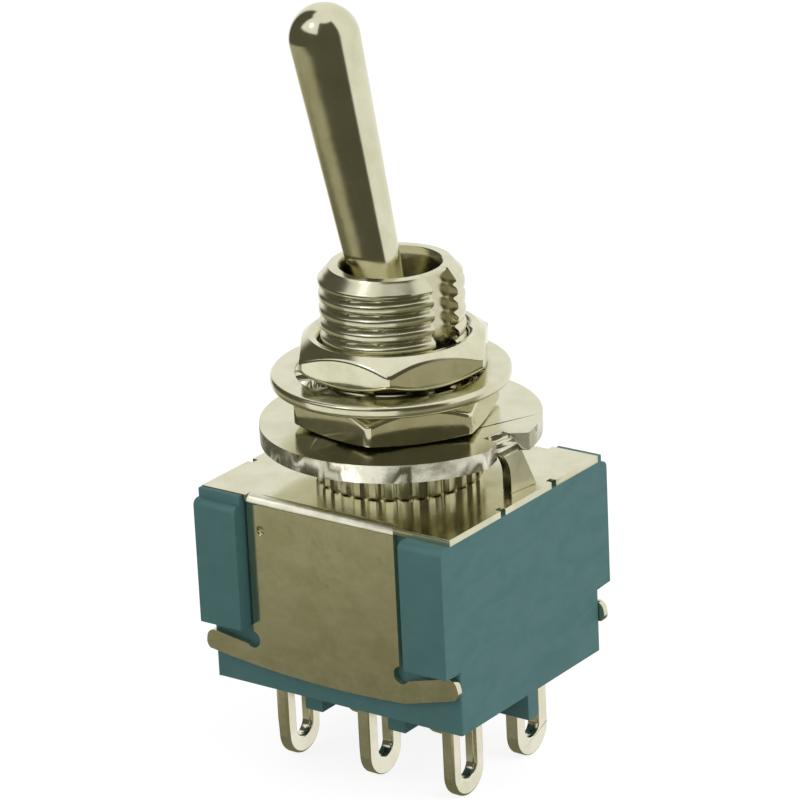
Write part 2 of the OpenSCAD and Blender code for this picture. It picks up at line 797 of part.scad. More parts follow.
// a centre terminal: its lug carries a cradle whose cheeks hold the rocker's ears
module centre_terminal(side) {
    reach = cheek_y + cheek_t;
    base_z = floor_z + shelf_t;
    color(SILVER) translate([0, side * pole_y, 0]) {
        lug(floor_z + 0.1);
        block(cradle_w, 2 * reach, floor_z, base_z);
        difference() {
            block(cradle_w, 2 * reach, base_z - 0.1, rocker_z + 0.3);
            block(cradle_w + cut, 2 * cheek_y, base_z, rocker_z + cut);
            translate([0, 0, rocker_z]) rotate([90, 0, 0])
                cylinder(h = 2 * reach + cut, r = ear_r + running_gap, center = true);
            block(ear_d + 2 * running_gap, 2 * reach + cut, rocker_z, rocker_z + cut);
        }
    }
}

module fixed_contact(side, end) {
    color(SILVER) translate([end * contact_x, side * pole_y, contact_z])
        cylinder(h = contact_h, d = contact_d);
}

// ---- nodes ----

housing();
frame();
bushing();
locating_ring();
lower_nut();
lock_washer();
upper_nut();
lever();
lever_pin();
carrier();
for (s = SIDES) {
    plunger(s[1]);
    plunger_spring(s[1]);
    rocker(s[1]);
    centre_terminal(s[1]);
    for (e = ENDS) {
        end_terminal(s[1], e[1]);
        fixed_contact(s[1], e[1]);
    }
}
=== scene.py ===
import json
import math

import bmesh
import bpy
from mathutils import Matrix, Vector


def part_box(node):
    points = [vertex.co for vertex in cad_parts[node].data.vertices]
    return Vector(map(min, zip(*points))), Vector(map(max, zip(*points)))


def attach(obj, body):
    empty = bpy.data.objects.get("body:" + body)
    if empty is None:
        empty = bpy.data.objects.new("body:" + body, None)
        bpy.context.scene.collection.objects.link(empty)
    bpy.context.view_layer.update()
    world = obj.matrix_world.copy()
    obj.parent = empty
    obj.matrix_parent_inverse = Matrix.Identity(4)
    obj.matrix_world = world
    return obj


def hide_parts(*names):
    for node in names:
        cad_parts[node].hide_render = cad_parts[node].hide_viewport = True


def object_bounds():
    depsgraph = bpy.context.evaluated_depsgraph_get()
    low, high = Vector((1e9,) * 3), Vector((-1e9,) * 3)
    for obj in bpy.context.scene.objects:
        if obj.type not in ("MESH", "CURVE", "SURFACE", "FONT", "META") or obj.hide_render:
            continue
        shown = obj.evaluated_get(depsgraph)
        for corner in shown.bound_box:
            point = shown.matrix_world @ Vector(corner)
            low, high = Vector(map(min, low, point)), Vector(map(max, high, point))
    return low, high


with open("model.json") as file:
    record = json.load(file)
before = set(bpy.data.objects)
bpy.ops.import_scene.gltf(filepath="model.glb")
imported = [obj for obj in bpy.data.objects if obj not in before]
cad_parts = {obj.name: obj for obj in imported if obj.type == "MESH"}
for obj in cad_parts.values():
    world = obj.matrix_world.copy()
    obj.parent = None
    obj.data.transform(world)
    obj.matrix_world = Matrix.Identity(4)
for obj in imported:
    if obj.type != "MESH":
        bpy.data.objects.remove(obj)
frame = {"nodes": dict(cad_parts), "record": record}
CAD_BOX = [[float(v) for v in corner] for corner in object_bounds()]
NODES = frame["nodes"]
MM = 0.001
TAU = 2 * math.pi
scene = bpy.context.scene


# ---------------------------------------------------------------- mesh helpers

def add_object(name, verts, faces):
    """An object from points in millimetres."""
    mesh = bpy.data.meshes.new(name)
    mesh.from_pydata([tuple(c * MM for c in v) for v in verts], [], faces)
    mesh.validate()
    obj = bpy.data.objects.new(name, mesh)
    scene.collection.objects.link(obj)
    return obj


class Shell:
    """Points and faces of one piece, gathered in millimetres."""

    def __init__(self):
        self.verts = []
        self.faces = []

    def rows(self, rows, close_rows=False):
        """Quads between rings of points; every ring has the same number of points."""
        n = len(rows[0])
        start = len(self.verts)
        for row in rows:
            self.verts.extend(row)
        count = len(rows)
        for i in range(count if close_rows else count - 1):
            a = start + i * n
            b = start + ((i + 1) % count) * n
            for k in range(n):
                m = (k + 1) % n
                self.faces.append((a + k, a + m, b + m, b + k))

    def revolve(self, profile, steps=128, close=True, centre=(0, 0)):
        """A profile of (radius, height) points turned about Z."""
        rows = []
        for r, z in profile:
            rows.append([(centre[0] + r * math.cos(TAU * k / steps),
                          centre[1] + r * math.sin(TAU * k / steps), z)
                         for k in range(steps)])
        self.rows(rows, close_rows=close)

    def make(self, name, matrix=None):
        """The object, with doubled points joined and its faces turned outwards."""
        obj = add_object(name, self.verts, self.faces)
        bm = bmesh.new()
        bm.from_mesh(obj.data)
        bmesh.ops.remove_doubles(bm, verts=bm.verts, dist=2e-7)
        bmesh.ops.recalc_face_normals(bm, faces=bm.faces)
        if matrix is not None:
            bmesh.ops.transform(bm, matrix=matrix, verts=bm.verts)
        bm.to_mesh(obj.data)
        bm.free()
        return obj


def round_corners(points, radii, steps=4):
    """A closed outline with its corners rounded; radii holds one radius for each point."""
    out = []
    n = len(points)
    for i in range(n):
        p = Vector(points[i])
        r = radii[i]
        if r <= 0:
            out.append((p.x, p.y))
            continue
        a = Vector(points[i - 1]) - p
        b = Vector(points[(i + 1) % n]) - p
        half = a.angle(b) / 2
        reach = min(r / math.tan(half), a.length * 0.49, b.length * 0.49)
        start = p + a.normalized() * reach
        end = p + b.normalized() * reach
        for s in range(steps + 1):
            t = s / steps
            q = start * (1 - t) ** 2 + p * 2 * t * (1 - t) + end * t * t
            out.append((q.x, q.y))
    return out


def shade(obj, angle=35):
    """Smooth faces, with the edges sharper than the angle kept."""
    bm = bmesh.new()
    bm.from_mesh(obj.data)
    for f in bm.faces:
        f.smooth = True
    for e in bm.edges:
        e.smooth = len(e.link_faces) != 2 or e.calc_face_angle(0) < math.radians(angle)
    bm.to_mesh(obj.data)
    bm.free()


def apply_modifiers(obj):
    depsgraph = bpy.context.evaluated_depsgraph_get()
    mesh = bpy.data.meshes.new_from_object(obj.evaluated_get(depsgraph))
    obj.modifiers.clear()
    obj.data = mesh


def bevelled(obj, width, segments=3, angle=32):
    """Rounds the edges; the rounded faces take the second material."""
    mod = obj.modifiers.new("edges", "BEVEL")
    mod.width = width * MM
    mod.segments = segments
    mod.limit_method = "ANGLE"
    mod.angle_limit = math.radians(angle)
    mod.material = 1
    mod.harden_normals = False
    mod.use_clamp_overlap = True
    apply_modifiers(obj)
    weighted = obj.modifiers.new("normals", "WEIGHTED_NORMAL")
    weighted.keep_sharp = True
    weighted.weight = 80
    for p in obj.data.polygons:
        p.use_smooth = True
    apply_modifiers(obj)


def copy_of(node, name):
    """A new object with the CAD node's shape, its flat faces merged."""
    mesh = NODES[node].data.copy()
    mesh.materials.clear()
    obj = bpy.data.objects.new(name, mesh)
    scene.collection.objects.link(obj)
    bm = bmesh.new()
    bm.from_mesh(mesh)
    bmesh.ops.remove_doubles(bm, verts=bm.verts, dist=1e-6)
    bmesh.ops.dissolve_limit(bm, angle_limit=math.radians(0.5), verts=bm.verts,
                             edges=bm.edges)
    for f in bm.faces:
        f.smooth = True
    bm.to_mesh(mesh)
    bm.free()
    return obj


def dress(obj, node, body, slot, *materials):
    """Gives a piece its materials and its body, and hides the CAD node it stands for."""
    obj.data.materials.clear()
    for m in materials:
        obj.data.materials.append(m)
    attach(obj, body)
    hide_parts(node)


# ---------------------------------------------------------------- material helpers

def is_socket(value):
    return hasattr(value, "is_linked")


class Nodes:
    """The node tree of a material or a world, emptied, with short calls for its nodes."""

    def __init__(self, owner):
        owner.use_nodes = True
        self.tree = owner.node_tree
        self.tree.nodes.clear()

    def node(self, kind, **settings):
        n = self.tree.nodes.new(kind)
        for k, v in settings.items():
            setattr(n, k, v)
        return n

    def link(self, a, b):
        self.tree.links.new(a, b)

    def put(self, socket, value):
        if is_socket(value):
            self.link(value, socket)
        else:
            socket.default_value = value

    def surface(self, shader, kind="ShaderNodeOutputMaterial"):
        """Ends the tree with a shader node."""
        self.link(shader.outputs[0], self.node(kind).inputs["Surface"])

    def math(self, op, a, b, clamp=False):
        n = self.node("ShaderNodeMath", operation=op, use_clamp=clamp)
        self.put(n.inputs[0], a)
        self.put(n.inputs[1], b)
        return n.outputs[0]

    def ramp(self, value, low, high, to_low=0.0, to_high=1.0):
        n = self.node("ShaderNodeMapRange", interpolation_type="SMOOTHSTEP")
        self.put(n.inputs["Value"], value)
        n.inputs["From Min"].default_value = low
        n.inputs["From Max"].default_value = high
        n.inputs["To Min"].default_value = to_low
        n.inputs["To Max"].default_value = to_high
        return n.outputs[0]

    def mix(self, factor, a, b):
        """A colour between a and b; each is a socket or a plain (r, g, b)."""
        n = self.node("ShaderNodeMix", data_type="RGBA")
        self.put(n.inputs["Factor"], factor)
        ends = [s for s in n.inputs if s.type == "RGBA"]
        for socket, colour in zip(ends, (a, b)):
            self.put(socket, colour if is_socket(colour) else (*colour, 1))
        return [s for s in n.outputs if s.type == "RGBA"][0]


class Mat(Nodes):
    """A procedural material; coordinates are the shared frame's, in millimetres."""

    def __init__(self, name):
        self.material = bpy.data.materials.new(name)
        super().__init__(self.material)
        self.bsdf = self.node("ShaderNodeBsdfPrincipled")
        self.surface(self.bsdf)
        coord = self.node("ShaderNodeTexCoord")
        scale = self.node("ShaderNodeVectorMath", operation="SCALE")
        scale.inputs["Scale"].default_value = 1 / MM
        self.link(coord.outputs["Object"], scale.inputs[0])
        self.at = scale.outputs[0]

    def stretched(self, x, y, z):
        n = self.node("ShaderNodeVectorMath", operation="MULTIPLY")
        self.link(self.at, n.inputs[0])
        n.inputs[1].default_value = (x, y, z)
        return n.outputs[0]

    def noise(self, scale, detail, rough, vector=None, distortion=0.0):
        n = self.node("ShaderNodeTexNoise")
        self.link(vector or self.at, n.inputs["Vector"])
        n.inputs["Scale"].default_value = scale
        n.inputs["Detail"].default_value = detail
        n.inputs["Roughness"].default_value = rough
        n.inputs["Distortion"].default_value = distortion
        return n.outputs[0]

    def spots(self, scale):
        n = self.node("ShaderNodeTexVoronoi")
        self.link(self.at, n.inputs["Vector"])
        n.inputs["Scale"].default_value = scale
        return n.outputs["Distance"]

    def bump(self, height, strength, distance, normal=None):
        """A bump whose full height is distance, in millimetres."""
        n = self.node("ShaderNodeBump")
        self.put(n.inputs["Height"], height)
        self.put(n.inputs["Strength"], strength)
        n.inputs["Distance"].default_value = distance * MM
        if normal is not None:
            self.link(normal, n.inputs["Normal"])
        return n.outputs[0]

    def set(self, **sockets):
        """Sets sockets of the main shader; colours are (r, g, b)."""
        for key, v in sockets.items():
            if isinstance(v, tuple) and len(v) == 3:
                v = (*v, 1)
            self.put(self.bsdf.inputs[key.replace("_", " ")], v)


def plating(name, base, deep, rough, spread, grain, streak=(1, 1, 6), pits=0.0):
    """Bright plating: soft tone changes, fine scratches, a slightly uneven surface.

    Rough is the least roughness, spread what smudges add to it, grain the bumps' strength,
    streak how the scratches run (low is long), and pits the strength of small dents.
    """
    m = Mat(name)
    tone = m.ramp(m.noise(0.55, 4, 0.6), 0.35, 0.7)
    fine = m.noise(9, 4, 0.65)
    lines = m.noise(3.0, 3, 0.6, vector=m.stretched(*streak))
    colour = m.mix(tone, base, deep)
    smudge = m.ramp(m.noise(1.3, 5, 0.7, distortion=0.6), 0.52, 0.75)
    r = m.math("ADD", m.math("MULTIPLY", smudge, spread), rough)
    r = m.math("ADD", r, m.math("MULTIPLY", m.math("SUBTRACT", lines, 0.5), 0.10), clamp=True)
    normal = m.bump(m.noise(0.8, 2, 0.5), grain, 0.05)
    normal = m.bump(fine, grain * 0.55, 0.006, normal)
    normal = m.bump(lines, grain * 0.5, 0.004, normal)
    if pits:
        dots = m.ramp(m.spots(3.1), 0.10, 0.16)
        normal = m.bump(dots, pits, 0.01, normal)
    m.set(Base_Color=colour, Metallic=1.0, Roughness=r, Normal=normal)
    return m.material


def moulding(name, base, light, rough, grain=0.25):
    """A filled moulded plastic: fine grain, mottling, faint flow marks."""
    m = Mat(name)
    mottle = m.ramp(m.noise(0.9, 5, 0.62), 0.3, 0.75)
    flow = m.ramp(m.noise(0.35, 3, 0.5, vector=m.stretched(1, 1, 2.4), distortion=1.2), 0.4, 0.75)
    colour = m.mix(m.math("MULTIPLY", mottle, 0.8), base, light)
    specks = m.ramp(m.spots(5.5), 0.03, 0.09, 0.35, 0.0)
    colour = m.mix(specks, colour, tuple(min(1, c * 1.35) for c in light))
    r = m.math("ADD", m.math("MULTIPLY", flow, 0.14), rough)
    normal = m.bump(m.noise(26, 3, 0.6), grain, 0.006)
    normal = m.bump(m.noise(1.6, 3, 0.5), grain * 0.6, 0.02, normal)
    m.set(Base_Color=colour, Roughness=r, Normal=normal, Specular_IOR_Level=0.45)
    return m.material


NICKEL = (0.70, 0.68, 0.52)
NICKEL_DEEP = (0.62, 0.60, 0.43)

TEAL = moulding("teal_moulding", (0.056, 0.150, 0.150), (0.066, 0.168, 0.168), rough=0.5)
# Lighter teal for the housing's rounded edges: a painted highlight where the edges catch the
# light.
TEAL_EDGE_HIGHLIGHT = moulding("teal_edge_highlight", (0.064, 0.175, 0.180), (0.078, 0.195, 0.200), rough=0.46)
NATURAL = moulding("natural_moulding", (0.74, 0.70, 0.58), (0.80, 0.77, 0.68), rough=0.5)
LEVER = plating("lever_plating", NICKEL, NICKEL_DEEP,
                rough=0.12, spread=0.05, grain=0.10, streak=(4, 4, 0.3))
THREAD = plating("thread_plating", NICKEL, NICKEL_DEEP, rough=0.20, spread=0.10, grain=0.16)
NUT = plating("nut_plating", (0.72, 0.70, 0.54), NICKEL_DEEP,
              rough=0.11, spread=0.08, grain=0.08)
# Brighter plating for the locating ring's rounded rim: a painted highlight of the rim.
NUT_EDGE_HIGHLIGHT = plating("nut_edge_highlight", (0.80, 0.78, 0.64), NICKEL, rough=0.2, spread=0.08, grain=0.10)
WASHER = plating("washer_plating", NICKEL, NICKEL_DEEP,
                 rough=0.18, spread=0.10, grain=0.12, pits=0.2)
SHEET = plating("frame_sheet", NICKEL, NICKEL_DEEP,
                rough=0.14, spread=0.12, grain=0.09, streak=(9, 9, 0.6))
# Brighter plating for the frame's rounded edges and its fold: a painted highlight.
SHEET_EDGE_HIGHLIGHT = plating("frame_edge_highlight", (0.90, 0.88, 0.76), NICKEL, rough=0.30, spread=0.1, grain=0.5)
SHEARED = plating("sheared_steel", (0.80, 0.78, 0.66), (0.40, 0.38, 0.27),
                  rough=0.26, spread=0.2, grain=0.9, streak=(2.5, 2.5, 1))
TIN = plating("tinned_terminal", (0.82, 0.79, 0.66), (0.74, 0.70, 0.55),
              rough=0.16, spread=0.12, grain=0.16)
# Brighter tin for the solder lugs' rounded edges: a painted highlight.
TIN_EDGE_HIGHLIGHT = plating("tinned_edge_highlight", (0.88, 0.86, 0.76), (0.8, 0.77, 0.64),
                   rough=0.22, spread=0.1, grain=0.2)
SILVER = plating("silver_contact", (0.86, 0.84, 0.79), (0.78, 0.75, 0.68),
                 rough=0.2, spread=0.1, grain=0.1)
WIRE = plating("spring_wire", (0.66, 0.66, 0.63), (0.58, 0.58, 0.54),
               rough=0.2, spread=0.1, grain=0.1)


# ---------------------------------------------------------------- sizes from the frame

def span(node):
    """A node's lowest and highest corners at rest, in millimetres."""
    lo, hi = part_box(node)
    return [c / MM for c in lo], [c / MM for c in hi]


JOINTS = {j["name"]: j for j in frame["record"]["behaviour"]["joints"]}
PIVOT = JOINTS["toggle_tilt"]["pos_m"][2] / MM
SLIDE = JOINTS["plunger_front_slide"]["axis"]
TILT = math.atan2(-SLIDE[0], SLIDE[2])   # the lever's lean at rest
BUSH = span("bushing")
RING = span("locating_ring")
WASH = span("lock_washer")
RING_T = 0.8
TAB_TURN = math.radians(-9.6)            # where the ring's tab stands, from +X

THREAD_R = 3.175                        # 1/4-40 thread
PITCH = 0.635
COLLAR_R = BUSH[1][0]
COLLAR_TOP = RING[1][2] - RING_T
RIM = BUSH[1][2]


# ---------------------------------------------------------------- bushing

THREAD_CUT = 0.19                       # depth of a worn groove
CREST_FALL = 0.03                       # how far a crest falls off towards its groove
CREST_SHARE = 0.34                      # the part of the pitch that is crest
THREAD_END = RIM - 0.06
LEVELS_PER_PITCH = 12
CHAMFER_H, CHAMFER_W = 0.55, 0.5

KEY_ANGLE = math.radians(-5)
KEY_HALF = 0.775                        # half the keyway's width
KEY_FLOOR = THREAD_R - 0.62

LIP_R = 2.85                            # what passes through the frame's hole
FLUTES, POINTS_PER_FLUTE, FLUTE_DEPTH = 32, 10, 0.17
COLLAR_IN_R = 2.9                       # the collar's hidden inner side


def thread_radius(theta, z):
    """A worn thread: wide rounded crests between shallow narrow grooves."""
    off_crest = abs((z / PITCH - theta / TAU) % 1.0 - 0.5) * 2
    groove = max(0.0, (off_crest - CREST_SHARE) / (1 - CREST_SHARE))
    wave = 0.5 - 0.5 * math.cos(math.pi * groove)
    return THREAD_R - CREST_FALL * off_crest ** 2 - THREAD_CUT * wave ** 0.9


def thread_row(z, arc=176, wall=4, floor=8):
    """The outline of thread and keyway at one height, made with the keyway on +X."""
    cap = THREAD_R - CHAMFER_W * max(0.0, (z - (RIM - CHAMFER_H)) / CHAMFER_H)
    start = math.asin(KEY_HALF / min(THREAD_R - 0.05, cap))
    row = []
    for k in range(arc + 1):
        a = start + (TAU - 2 * start) * k / arc
        r = min(thread_radius(a + KEY_ANGLE, z), cap)
        row.append((r * math.cos(a), r * math.sin(a)))
    first, last = row[0], row[-1]
    side_x = min(KEY_FLOOR, last[0] - 0.01)
    for k in range(1, wall + 1):
        t = k / wall
        row.append((last[0] + (side_x - last[0]) * t, last[1] * (1 - t) - KEY_HALF * t))
    for k in range(1, floor):
        row.append((side_x, -KEY_HALF + 2 * KEY_HALF * k / floor))
    for k in range(wall):
        t = 1 - k / wall
        row.append((first[0] + (side_x - first[0]) * t, first[1] * (1 - t) + KEY_HALF * t))
    return [(x * math.cos(KEY_ANGLE) - y * math.sin(KEY_ANGLE),
             x * math.sin(KEY_ANGLE) + y * math.cos(KEY_ANGLE), z) for x, y in row]


def fluted(r, z, share):
    """A ring of the collar, with share of the flutes' full depth."""
    out = []
    for k in range(FLUTES * POINTS_PER_FLUTE):
        a = TAU * k / (FLUTES * POINTS_PER_FLUTE)
        wave = max(0.0, math.cos(FLUTES * a)) ** 0.8
        q = r - FLUTE_DEPTH * wave * share
        out.append((q * math.cos(a), q * math.sin(a), z))
    return out


def bushing_piece():
    foot = BUSH[0][2]
    length = THREAD_END - COLLAR_TOP
    steps = int(length / (PITCH / LEVELS_PER_PITCH))
    rows = [thread_row(COLLAR_TOP + length * i / steps) for i in range(steps + 1)]
    edge = rows[-1]

    def ring(r, z, share=1):
        """A ring at the angles of the rim's edge; share is how far it takes the radius r."""
        out = []
        for x, y, _ in edge:
            a = math.atan2(y, x)
            q = r * share + (math.hypot(x, y) - 0.05) * (1 - share)
            out.append((q * math.cos(a), q * math.sin(a), z))
        return out

    rows.append([(x * 0.988, y * 0.988, RIM - 0.012) for x, y, _ in edge])
    rows.append(ring(2.33, RIM, 0.15))
    bore = [(2.29, RIM), (2.235, RIM - 0.045), (2.16, RIM - 0.35), (2.02, RIM - 0.95),
            (1.86, RIM - 1.65), (1.70, RIM - 2.3), (1.63, RIM - 2.62), (1.62, RIM - 2.75)]
    ball_seat = [(1.75, 6.6), (2.05, 5.9), (2.2, PIVOT), (2.2, 3.0), (2.2, foot)]
    lip = [(3.2, foot), (3.28, foot + 0.07), (3.26, -0.31), (LIP_R, -0.30), (LIP_R, -0.02)]
    inside_collar = [(2.9, 0.0), (2.95, 0.5), (3.0, COLLAR_TOP - 0.2)]
    rows += [ring(r, z) for r, z in bore + ball_seat + lip + inside_collar]
    shell = Shell()
    shell.rows(rows, close_rows=True)

    top, r = COLLAR_TOP, COLLAR_R
    collar = [(COLLAR_IN_R, 0.0, 0), (r - 0.12, 0.0, 0.4), (r - 0.03, 0.05, 0.9),
              (r, 0.16, 1), (r, top * 0.5, 1), (r, top - 0.12, 1),
              (r - 0.04, top - 0.03, 0.8), (r - 0.14, top, 0.4), (COLLAR_IN_R, top, 0)]
    shell.rows([fluted(*level) for level in collar], close_rows=True)
    obj = shell.make("threaded_bushing")
    shade(obj, 38)
    dress(obj, "bushing", "switch_body", "plated_brass", THREAD)


bushing_piece()


# ---------------------------------------------------------------- nuts

NUT_FLAT_R = 4.0                        # half of 8 mm across flats
NUT_CORNER_R = 4.59                     # the corners are turned down to this
NUT_FACE_R = 3.73                       # flat end face, inside the chamfer
NUT_BORE_R = 3.25
CHAMFER_BLEND = 0.035                   # how softly the chamfer meets the flats


def soft_min(a, b, k):
    """The lesser of a and b, rounded over about k where they meet."""
    return -k * math.log(math.exp(-a / k) + math.exp(-b / k))


def nut_piece(name, node, turn, low_slope, high_slope, steps=180, levels=44):
    """A hex nut turned by some degrees; a slope is its chamfer's height for each width."""
    lo, hi = span(node)
    z0, thick = lo[2], hi[2] - lo[2]
    angles = [TAU * k / steps + math.radians(turn) for k in range(steps)]

    def hexagon(a):
        local = math.degrees(a) - turn
        return NUT_FLAT_R / math.cos(math.radians(local % 60 - 30))

    def ring(z, cone):
        out = []
        for a in angles:
            r = soft_min(min(hexagon(a), NUT_CORNER_R), cone, CHAMFER_BLEND)
            out.append((r * math.cos(a), r * math.sin(a), z0 + z))
        return out

    rows = [[(NUT_BORE_R * math.cos(a), NUT_BORE_R * math.sin(a), z0 + 0.25) for a in angles]]
    rows += [ring(0, 3.45), ring(0, NUT_FACE_R - 0.05)]
    for i in range(levels + 1):
        z = thick * (0.5 - 0.5 * math.cos(math.pi * i / levels))
        cone = min(NUT_FACE_R + z / low_slope, NUT_FACE_R + (thick - z) / high_slope)
        rows.append(ring(z, cone))
    rows += [ring(thick, NUT_FACE_R - 0.05), ring(thick, 3.52), ring(thick - 0.02, 3.47),
             ring(thick - 0.24, 3.26), ring(thick - 0.30, 3.23)]
    shell = Shell()
    shell.rows(rows, close_rows=True)
    obj = shell.make(name)
    shade(obj, 44)
    dress(obj, node, "switch_body", "plated_nut", NUT)


nut_piece("clamp_nut", "upper_nut", 2.7, 0.74, 0.74)
nut_piece("back_nut", "lower_nut", -10, 0.25, 0.74)


# ---------------------------------------------------------------- lock washer

TEETH = 10
TOOTH_TWIST = math.radians(11)


def washer_piece():
    lo, hi = WASH
    cx, cy = (lo[0] + hi[0]) / 2, (lo[1] + hi[1]) / 2
    z0, t = lo[2], hi[2] - lo[2]
    outer, band, tip = (hi[0] - lo[0]) / 2, 4.15, 3.45
    shell = Shell()
    profile = round_corners([(band, z0), (outer, z0), (outer, z0 + t), (band, z0 + t)],
                            [0.06, 0.22, 0.20, 0.08], 6)
    shell.revolve(profile, 160, centre=(cx, cy))
    for i in range(TEETH):
        a = TAU * i / TEETH
        rows = []
        for r in (band + 0.12, band - 0.1, 3.8, 3.6, tip + 0.03, tip):
            share = 1 if r > tip + 0.01 else 0.7
            twist = TOOTH_TWIST * min(1, (band + 0.1 - r) / 0.35)
            half, high = 0.5 * share * (1 - 0.10 * (band - r)), 0.16 * share
            section = round_corners([(-half, -high), (half, -high), (half, high), (-half, high)],
                                    [0.05] * 4, 2)
            ring = []
            for y, z in section:
                w = y * math.cos(twist) - z * math.sin(twist)
                h = y * math.sin(twist) + z * math.cos(twist)
                ring.append((cx + r * math.cos(a) - w * math.sin(a),
                             cy + r * math.sin(a) + w * math.cos(a), z0 + t / 2 + h))
            rows.append(ring)
        start = len(shell.verts)
        n = len(rows[0])
        shell.rows(rows)
        shell.faces.append(tuple(range(start, start + n)))
        shell.faces.append(tuple(range(start + (len(rows) - 1) * n, start + len(rows) * n)))
    obj = shell.make("toothed_washer")
    shade(obj, 40)
    dress(obj, "lock_washer", "switch_body", "plated_steel", WASHER)


washer_piece()


# ---------------------------------------------------------------- lever

LEVER_REACH = 14.375                    # from the pivot to the tip's centre
TIP_R, STEM_R, TAIL_R, BALL_R = 1.555, 1.07, 0.9, 2.15
NECK_R = 1.1                            # where the ball runs into the stem
STEM_FROM = 2.2                         # height above the pivot where the stem's taper is seen
TAIL_L, CARRIER_FLOOR = 9.7, 0.8


def lever_piece(steps=24):
    """The bat lever: a profile from the tail's foot to the tip, turned and leant."""
    foot = -(TAIL_L - CARRIER_FLOOR)
    drop = math.sqrt(BALL_R ** 2 - TAIL_R ** 2)
    profile = [(0.0, foot), (TAIL_R - 0.1, foot), (TAIL_R - 0.02, foot + 0.03),
               (TAIL_R, foot + 0.1), (TAIL_R, -drop)]
    first, last = math.asin(-drop / BALL_R), math.acos(NECK_R / BALL_R)
    for k in range(1, steps + 1):
        a = first + (last - first) * k / steps
        profile.append((BALL_R * math.cos(a), BALL_R * math.sin(a)))
    for k in range(steps + 1):
        s = STEM_FROM + (LEVER_REACH - STEM_FROM) * k / steps
        profile.append((STEM_R + (TIP_R - STEM_R) * (s - 1) / (LEVER_REACH - 1), s))
    for k in range(1, 33):
        a = math.pi / 2 * k / 32
        profile.append((TIP_R * math.cos(a), LEVER_REACH + TIP_R * math.sin(a)))
    shell = Shell()
    shell.revolve(profile, 128, close=False)
    matrix = Matrix.Translation((0, 0, PIVOT * MM)) @ Matrix.Rotation(-TILT, 4, "Y")
    obj = shell.make("bat_lever", matrix)
    shade(obj, 40)
    dress(obj, "lever", "toggle", "plated_lever", LEVER)


lever_piece()


# ---------------------------------------------------------------- pieces with rounded edges

def rounded_copy(node, name, body, slot, width, face, edge):
    """The CAD node's shape with its edges rounded by width, in millimetres; the rounded faces
    take edge, which for some pieces is a lighter copy of face, a painted highlight.
    """
    obj = copy_of(node, name)
    obj.data.materials.append(face)
    obj.data.materials.append(edge)
    bevelled(obj, width)
    dress(obj, node, body, slot, face, edge)
    return obj


def resurface(obj, material, choose):
    """Gives a further material to the faces that choose(centre, normal) picks, in mm."""
    obj.data.materials.append(material)
    index = len(obj.data.materials) - 1
    for p in obj.data.polygons:
        if choose(p.center / MM, p.normal):
            p.material_index = index


# The housing's rounded edges take the lighter teal, a painted highlight.
rounded_copy("housing", "moulded_body", "switch_body", "teal_moulding", 0.06, TEAL, TEAL_EDGE_HIGHLIGHT)
# The frame's rounded edges take the brighter plating, a painted highlight.
sheet = rounded_copy("frame", "folded_frame", "switch_body", "frame_sheet", 0.06, SHEET,
                     SHEET_EDGE_HIGHLIGHT)
# Faces of the fold between the top plate and the straps take the brighter plating too: a painted
# highlight along the fold.
resurface(sheet, SHEET_EDGE_HIGHLIGHT, lambda c, n: c.z > -0.45 and abs(n.y) > 0.25 and n.z > 0.2)
# The ring's rounded rim takes the brighter plating, a painted highlight.
ring = rounded_copy("locating_ring", "keyed_ring", "switch_body", "plated_steel", 0.12, WASHER,
                    NUT_EDGE_HIGHLIGHT)
resurface(ring, SHEARED, lambda c, n: abs(n.z) < 0.5 and math.hypot(c.x, c.y) > 5.0
          and n.x * math.cos(TAB_TURN) + n.y * math.sin(TAB_TURN) < 0.985)
for row in ("front", "rear"):
    for place in ("left", "centre", "right"):
        node = "terminal_%s_%s" % (row, place)
        # The lugs' rounded edges take the brighter tin, a painted highlight.
        rounded_copy(node, "solder_lug_%s_%s" % (row, place), "switch_body", "tinned_terminal",
                     0.14, TIN, TIN_EDGE_HIGHLIGHT)
    for place in ("left", "right"):
        node = "contact_%s_%s" % (row, place)
        rounded_copy(node, "silver_button_%s_%s" % (row, place), "switch_body",
                     "silver_contact", 0.05, SILVER, SILVER)
    rounded_copy("rocker_" + row, "rocking_contact_" + row, "rocker_" + row, "silver_contact",
                 0.04, SILVER, SILVER)
    rounded_copy("plunger_" + row, "nylon_plunger_" + row, "plunger_" + row,
                 "natural_moulding", 0.04, NATURAL, NATURAL)
    NODES["spring_" + row].data.materials.clear()
    NODES["spring_" + row].data.materials.append(WIRE)
rounded_copy("carrier", "nylon_carrier", "toggle", "natural_moulding", 0.08, NATURAL, NATURAL)
rounded_copy("lever_pin", "ball_pin", "toggle", "plated_steel", 0.06, SILVER, SILVER)


# ---------------------------------------------------------------- floor, world and lamps

FLOOR_HALF = 2.0                        # metres


def floor_plane():
    """A floor that is nearly white to the camera and darker as a bounce card."""
    z = CAD_BOX[0][2]
    s = FLOOR_HALF
    mesh = bpy.data.meshes.new("floor")
    mesh.from_pydata([(-s, -s, z), (s, -s, z), (s, s, z), (-s, s, z)], [], [(0, 1, 2, 3)])
    floor = bpy.data.objects.new("floor", mesh)
    scene.collection.objects.link(floor)
    mat = bpy.data.materials.new("pale_floor")
    nodes = Nodes(mat)
    to_camera = nodes.node("ShaderNodeLightPath").outputs["Is Camera Ray"]
    matte = nodes.node("ShaderNodeBsdfDiffuse")
    nodes.link(nodes.mix(to_camera, (0.8, 0.8, 0.78), (0.24, 0.24, 0.235)),
               matte.inputs["Color"])
    shine = nodes.node("ShaderNodeEmission")
    nodes.link(nodes.math("MULTIPLY", to_camera, 0.86), shine.inputs["Strength"])
    both = nodes.node("ShaderNodeAddShader")
    nodes.link(shine.outputs[0], both.inputs[0])
    nodes.link(matte.outputs[0], both.inputs[1])
    nodes.surface(both)
    mesh.materials.append(mat)
    floor.visible_glossy = False


